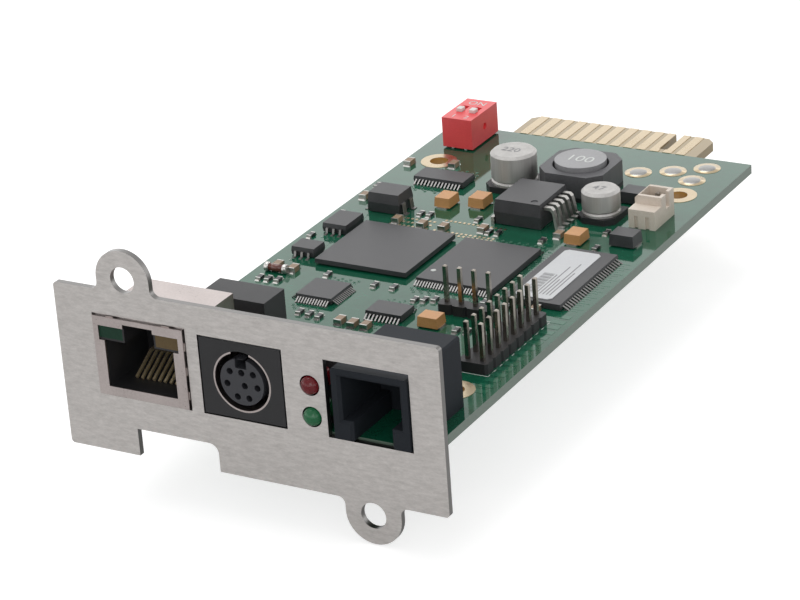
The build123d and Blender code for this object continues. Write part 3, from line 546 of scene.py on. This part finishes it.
def node_triangles(name):
    """Corners of a CAD node's triangles as an array of triangle, corner and coordinate."""
    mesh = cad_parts[name].data
    corners = np.empty(len(mesh.loops), dtype=np.int64)
    mesh.loops.foreach_get("vertex_index", corners)
    points = np.empty(3 * len(mesh.vertices))
    mesh.vertices.foreach_get("co", points)
    return points.reshape(-1, 3)[corners].reshape(-1, 3, 3)


def columns(*values):
    """Rows of x, y and z, where a single number is repeated in every row."""
    return np.stack(np.broadcast_arrays(*values), -1).astype(float)


def add_boxes(name, low, high, material, lean=0.0):
    """Boxes between low and high corners; each top is smaller than its foot by the lean on every side."""
    low = np.asarray(low, dtype=float).reshape(-1, 3)
    high = np.asarray(high, dtype=float).reshape(-1, 3)
    unit = np.array([[0, 0, 0], [1, 0, 0], [1, 1, 0], [0, 1, 0], [0, 0, 1], [1, 0, 1], [1, 1, 1], [0, 1, 1]])
    inward = (0.5 - unit) * np.array([2, 2, 0]) * unit[:, 2:] * lean
    points = low[:, None] + (high - low)[:, None] * unit + inward
    quads = np.array([[0, 3, 2, 1], [4, 5, 6, 7], [0, 1, 5, 4], [1, 2, 6, 5], [2, 3, 7, 6], [3, 0, 4, 7]])
    faces = quads + 8 * np.arange(len(low))[:, None, None]
    return add_piece(name, points, faces.reshape(-1, 4), material)


epoxy = finish("filled_epoxy", epoxy_dark, epoxy_light, (0.38, 0.5), 6000.0, 400.0, relief=0.000008)
dress(epoxy, "processor", "flash_memory", "working_memory", "network_controller", "line_driver")
dress(epoxy, "level_shifter", "optocoupler", "bus_driver", "reset_chip", "regulator", "rectifiers")
dull_tin = finish("dull_tin", lead_dark, lead_light, (0.35, 0.5), metal=1.0)
dress(dull_tin, "flash_memory_leads", "working_memory_leads", "network_controller_leads")
dress(dull_tin, "small_package_leads")
tinned = finish("tinned", tin_dark, tin_light, (0.3, 0.46), metal=1.0)
dress(tinned, "regulator_tab_and_leads", "chip_terminals", "inductor_terminals", "serial_socket_tails")
dress(tinned, "status_lamp_leads", "supply_module_pins", "selector_switch_pins", "wire_connector_pins")
dress(finish("label_paper", paper_dark, paper_light, (0.45, 0.55)), "memory_label")
flash_top = node_triangles("flash_memory").reshape(-1, 3).max(0)[2]
dot = [(0.0, 0.0), (dot_radius, 0.0), (dot_radius, ink_height), (0.0, ink_height)]
add_turned("first_pin_dot", dot, [(*dot_place, flash_top)], ink_white)
ink_grey = finish("grey_ink", grey_ink_dark, grey_ink_light, (0.5, 0.6))
label = node_triangles("memory_label").reshape(-1, 3)
label_x, label_y = label.min(0)[:2]
label_top = label.max(0)[2]
bar_low = columns(label_x + bar_inset, label_y + mark_start + bar_pitch * bar_steps, label_top)
bar_high = bar_low + columns(bar_length, bar_widths, ink_height)
line_low = columns(label_x + line_inset + line_pitch * line_steps, label_y + mark_start, label_top)
line_high = line_low + columns(line_thickness, line_lengths, ink_height)
add_boxes("label_marks", np.concatenate([bar_low, line_low]), np.concatenate([bar_high, line_high]), ink_grey)


# Inductor and capacitors: sintered ferrite with a ground drum, drawn aluminium cans, cast tantalum blocks.
# The drum and the cans carry plain values in ink.
ferrite_dark = (0.07, 0.07, 0.075, 1)
ferrite_light = (0.12, 0.12, 0.127, 1)
drum_dark = (0.24, 0.24, 0.25, 1)
drum_light = (0.36, 0.36, 0.37, 1)
can_dark = (0.34, 0.332, 0.322, 1)
can_light = (0.47, 0.46, 0.447, 1)
can_stretch = (2500, 2500, 150)
tantalum_dark = (0.52, 0.245, 0.085, 1)
tantalum_light = (0.64, 0.335, 0.135, 1)
drum_figures = 0.0034
drum_figure_inset = 0.0019
drum_figure_drop = 0.0012
can_figures = 0.0023
can_figure_step = 0.0007
can_figure_drop = 0.0008
dress(finish("ferrite", ferrite_dark, ferrite_light, (0.45, 0.6), relief=0.00002), "inductor_core")
dress(finish("ground_ferrite", drum_dark, drum_light, (0.28, 0.4), relief=0.00001), "inductor_drum")
drawn_can = finish("drawn_can", can_dark, can_light, (0.5, 0.6), 1.0, 0.2, can_stretch, metal=1.0)
dress(drawn_can, "large_capacitor_can", "small_capacitor_can")
tantalum = finish("tantalum_resin", tantalum_dark, tantalum_light, (0.35, 0.5), relief=0.000008)
dress(tantalum, "tantalum_capacitors")
low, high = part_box("inductor_drum")
drum_foot = (low[1] + high[1]) / 2 - drum_figure_drop
print_text("100", (low[0] + drum_figure_inset, drum_foot, high[2]), drum_figures, ink_white)
for name, word in (("large_capacitor_can", "220"), ("small_capacitor_can", "47")):
    low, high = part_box(name)
    start = (low[0] + high[0]) / 2 - can_figure_step * len(word)
    print_text(word, (start, (low[1] + high[1]) / 2 - can_figure_drop, high[2]), can_figures, ink_grey)


# Connector, headers and chips: moulded nylon, black headers with drawn square pins, and fired ceramic chips.
# White outlines are printed on the board round the larger header and the supply module.
nylon_dark = (0.66, 0.57, 0.48, 1)
nylon_light = (0.76, 0.68, 0.60, 1)
pin_dark = (0.24, 0.215, 0.185, 1)
pin_light = (0.50, 0.46, 0.41, 1)
glaze_dark = (0.012, 0.012, 0.014, 1)
glaze_light = (0.03, 0.03, 0.033, 1)
ceramic_dark = (0.24, 0.16, 0.10, 1)
ceramic_light = (0.34, 0.24, 0.16, 1)
line_width = 0.00012
outlined = {"pin_header_block": 0.0003, "supply_module": 0.0004}
dress(finish("nylon", nylon_dark, nylon_light, (0.4, 0.55), relief=0.000008), "wire_connector")
dress(finish("header_pin", pin_dark, pin_light, (0.14, 0.26), 900.0, 300.0, metal=1.0), "header_pins")
dress(finish("chip_resistor_glaze", glaze_dark, glaze_light, (0.2, 0.35)), "chip_resistors")
dress(finish("capacitor_ceramic", ceramic_dark, ceramic_light, (0.4, 0.55)), "chip_capacitors")
frame_low = []
frame_high = []
for name, margin in outlined.items():
    points = node_triangles(name).reshape(-1, 3)
    x0, y0 = points.min(0)[:2] - margin
    x1, y1 = points.max(0)[:2] + margin
    strokes = (((x0, y0), (x1, y0)), ((x0, y1), (x1, y1)), ((x0, y0), (x0, y1)), ((x1, y0), (x1, y1)))
    for low, high in strokes:
        frame_low.append((low[0] - line_width / 2, low[1] - line_width / 2, board_top))
        frame_high.append((high[0] + line_width / 2, high[1] + line_width / 2, board_top + ink_height))
add_boxes("outline_print", frame_low, frame_high, ink_white)


# Solder and chip ends: every chip is dipped in tin at both ends, and a fillet of solder runs out on its land.
# The ends come from the chips' own boxes, 12 triangles to a chip.
solder_dark = (0.38, 0.37, 0.35, 1)
solder_light = (0.58, 0.57, 0.55, 1)
tin_wrap = 0.00028
tin_skin = 0.00003
land_reach = 0.0003
fillet_rise = 0.00022
chip_corners = 12 * 3
solder = finish("solder", solder_dark, solder_light, (0.24, 0.4), relief=0.000006, metal=1.0)
chip_nodes = ("chip_resistors", "chip_capacitors")
chips = np.concatenate([node_triangles(name).reshape(-1, chip_corners, 3) for name in chip_nodes])
low = chips.min(1) - tin_skin
low[:, 2] = board_top
high = chips.max(1) + tin_skin
front_high = high.copy()
front_high[:, 1] = low[:, 1] + tin_wrap
back_low = low.copy()
back_low[:, 1] = high[:, 1] - tin_wrap
end_low = np.concatenate([low, back_low])
end_high = np.concatenate([front_high, high])
add_boxes("chip_ends", end_low, end_high, solder)
front = np.arange(len(end_low)) < len(chips)
fillet_low = end_low.copy()
fillet_low[:, 1] = np.where(front, end_low[:, 1] - land_reach, end_high[:, 1])
fillet_high = end_high.copy()
fillet_high[:, 1] = fillet_low[:, 1] + land_reach
fillet_high[:, 2] = board_top + fillet_rise
add_boxes("chip_fillets", fillet_low, fillet_high, solder, lean=0.0001)


# Diode beside the processor: a brown glass body between two tinned end caps, lying on the board.
# It is turned about the axis across the card.
diode_place = (-0.02440, 0.0472, board_top + 0.00078)
glass_dark = (0.10, 0.03, 0.02, 1)
glass_light = (0.16, 0.05, 0.035, 1)
glass_radius = 0.0006
glass_half = 0.0014
cap_start = 0.0013
cap_radius = 0.00078
cap_end = 0.00205
diode_glass = finish("diode_glass", glass_dark, glass_light, (0.12, 0.2))
glass_body = [(0.0, -glass_half), (glass_radius, -glass_half), (glass_radius, glass_half), (0.0, glass_half)]
add_turned("diode_body", glass_body, [diode_place], diode_glass, along=0)
cap = np.array([(0.0, cap_start), (0.00074, 0.00135), (cap_radius, 0.0015), (cap_radius, 0.002)])
cap = np.concatenate([cap, [(0.0007, cap_end), (0.0, cap_end)]])
for end in (-1, 1):
    add_turned(f"diode_cap_{end + 2}", cap * [1, end], [diode_place], solder, along=0)


# Lands under the package leads, with the tracks that leave them and the plated holes where the tracks end.
# Tracks are copper under the mask, so they show as a lighter, raised green. Rows of small gold lands for
# parts that are not fitted lie behind the processor, and covered strips run along the board's right edge.
leaded = {
    "flash_memory": {"across": 1, "count": 28, "pitch": 0.0005, "width": 0.0003},
    "working_memory": {"across": 0, "count": 25, "pitch": 0.0008, "width": 0.00045},
    "network_controller": {"across": 1, "count": 12, "pitch": 0.0005, "width": 0.0003},
    "bus_driver": {"across": 1, "count": 14, "pitch": 0.00065, "width": 0.00036},
    "reset_chip": {"across": 1, "count": 10, "pitch": 0.00065, "width": 0.00036},
    "line_driver": {"across": 1, "count": 3, "pitch": 0.00127, "width": 0.0006},
    "level_shifter": {"across": 1, "count": 3, "pitch": 0.00127, "width": 0.0006},
}
reflowed_dark = (0.20, 0.20, 0.19, 1)
reflowed_light = (0.34, 0.335, 0.33, 1)
covered_dark = (0.010, 0.10, 0.055, 1)
covered_light = (0.020, 0.15, 0.085, 1)
lead_reach = 0.001
land_length = 0.0009
land_height = 0.00004
land_inward = 0.3
track_width = 0.00018
track_height = 0.00002
track_start = 0.2
shortest_track = 0.0007
track_step = 0.0006
via_limit = 0.026
via_ring = [(0.00012, 0.0), (0.0003, 0.0), (0.00028, 0.00004), (0.00014, 0.00004)]
spare_pitch = 0.00085
spare_size = (0.00045, 0.00055, 0.00005)
spare_rows = (
    {"start": -0.0085, "count": 14, "lines": (0.0703, 0.0712, 0.0755)},
    {"start": -0.0169, "count": 9, "lines": (0.0712, 0.0727, 0.0742)},
)
strip_steps = np.arange(15)
strip_x = 0.0262
strip_start = 0.0195
strip_pitch = 0.002
strip_size = (0.0024, 0.0012, 0.00003)


def lead_rows(name, across, count, pitch, **land):
    """Feet on both sides of a package, evenly spaced about its centre, and the way each side faces."""
    points = node_triangles(name).reshape(-1, 3)
    middle = (points.min(0) + points.max(0)) / 2
    reach = (points.max(0) - points.min(0)) / 2
    offsets = (np.arange(count) - (count - 1) / 2) * pitch
    feet = np.zeros((2, count, 3))
    ways = np.zeros((2, count, 3))
    ways[0, :, across] = -1
    ways[1, :, across] = 1
    feet[:, :, across] = middle[across] + ways[:, :, across] * (reach[across] + lead_reach)
    feet[:, :, 1 - across] = middle[1 - across] + offsets
    feet[:, :, 2] = board_top
    return feet.reshape(-1, 3), ways.reshape(-1, 3)


land_low = []
land_high = []
track_low = []
track_high = []
via_places = []
for name, spec in leaded.items():
    feet, ways = lead_rows(name, **spec)
    spread = np.where(np.abs(ways) > 0, land_length / 2, spec["width"] / 2) * [1, 1, 0]
    centre = feet - ways * land_length * land_inward
    land_low.append(centre - spread)
    land_high.append(centre + spread + [0, 0, land_height])
    length = (shortest_track + track_step * (np.arange(len(feet)) % 3))[:, None]
    tip = feet + ways * (length + land_length * track_start)
    thin = np.where(np.abs(ways) > 0, 0, track_width / 2) * [1, 1, 0]
    track_low.append(np.minimum(feet, tip) - thin)
    track_high.append(np.maximum(feet, tip) + thin + [0, 0, track_height])
    via_places.append(tip[tip[:, 0] < via_limit])
reflowed = finish("reflowed_solder", reflowed_dark, reflowed_light, (0.3, 0.45), metal=1.0)
copper_mask = finish("mask_over_copper", covered_dark, covered_light, (0.08, 0.14), 700.0, 60.0, IOR=1.6)
lead_lands = add_boxes("lead_lands", np.concatenate(land_low), np.concatenate(land_high), reflowed)
tracks = add_boxes("tracks", np.concatenate(track_low), np.concatenate(track_high), copper_mask)
spare_low = []
for spec in spare_rows:
    x, y = np.meshgrid(spec["start"] + spare_pitch * np.arange(spec["count"]), spec["lines"])
    spare_low.append(columns(x.ravel(), y.ravel(), board_top))
spare_low = np.concatenate(spare_low)
spares = add_boxes("unfitted_lands", spare_low, spare_low + spare_size, bare_gold)
strip_low = columns(strip_x, strip_start + strip_pitch * strip_steps, board_top)
strips = add_boxes("covered_strips", strip_low, strip_low + strip_size, copper_mask)
vias = add_turned("plated_vias", via_ring, np.concatenate(via_places), copper_mask, sides=10, loop=True)


# Bare lands for larger parts that are not fitted: gold discs with a low dome of solder on each.
# They lie between the supply parts and the edge connector.
bare_lands = ((0.01295, 0.1060), (0.01835, 0.1085), (0.02335, 0.1116), (0.02315, 0.1057))
disc_radius = 0.00235
disc_height = 0.00006
dome_radius = 0.0015
dome_height = 0.00016
dome_steps = [radians(angle) for angle in (0, 20, 40, 60, 75, 90)]
land_places = [(x, y, board_top) for x, y in bare_lands]
gold_rolled = finish("land_gold", gold_dark, gold_light, (0.24, 0.38), metal=1.0)
disc = [(0.0, 0.0), (disc_radius, 0.0), (disc_radius, disc_height), (0.0, disc_height)]
add_turned("bare_lands", disc, land_places, gold_rolled, sides=40)
dome = [(dome_radius * cos(angle), disc_height + dome_height * sin(angle)) for angle in dome_steps]
add_turned("land_solder", dome, land_places, reflowed, sides=32)


# Underside: a gold ring round each plated hole and a cone of solder on each soldered tail.
# The tails are found from the triangles of their lower ends, two to a tail.
board_under = board_top - board_thickness
tail_depth = 0.00674
tail_corners = 2 * 3
soldered = ("lan_jack_contacts", "serial_socket_tails", "status_lamp_leads", "modular_jack_contacts")
soldered += ("supply_module_pins", "selector_switch_pins", "wire_connector_pins", "header_pins")
cone = [(0.00046, 0.0), (0.0004, -0.0001), (0.00029, -0.0005), (0.00026, -0.00095), (0.0, -0.001)]
ring_bore = 0.0016
ring_radius = 0.0032
hole_count = 4
tails = []
for name in soldered:
    triangles = node_triangles(name)
    ends = triangles[(triangles[:, :, 2] < -tail_depth).all(axis=1)].reshape(-1, tail_corners, 3)
    tails.append((ends.min(1) + ends.max(1)) / 2)
tails = np.concatenate(tails)
tails[:, 2] = board_under
add_turned("solder_cones", cone, tails, solder, sides=12)
rings = node_triangles("copper_lands").reshape(hole_count, -1, 3)
ring_places = (rings.min(1) + rings.max(1)) / 2
ring_places[:, 2] = board_under
ring = [(ring_bore, 0.0), (ring_radius, 0.0), (ring_radius, -disc_height), (ring_bore, -disc_height)]
add_turned("underside_lands", ring, ring_places, gold_rolled, sides=40, loop=True)
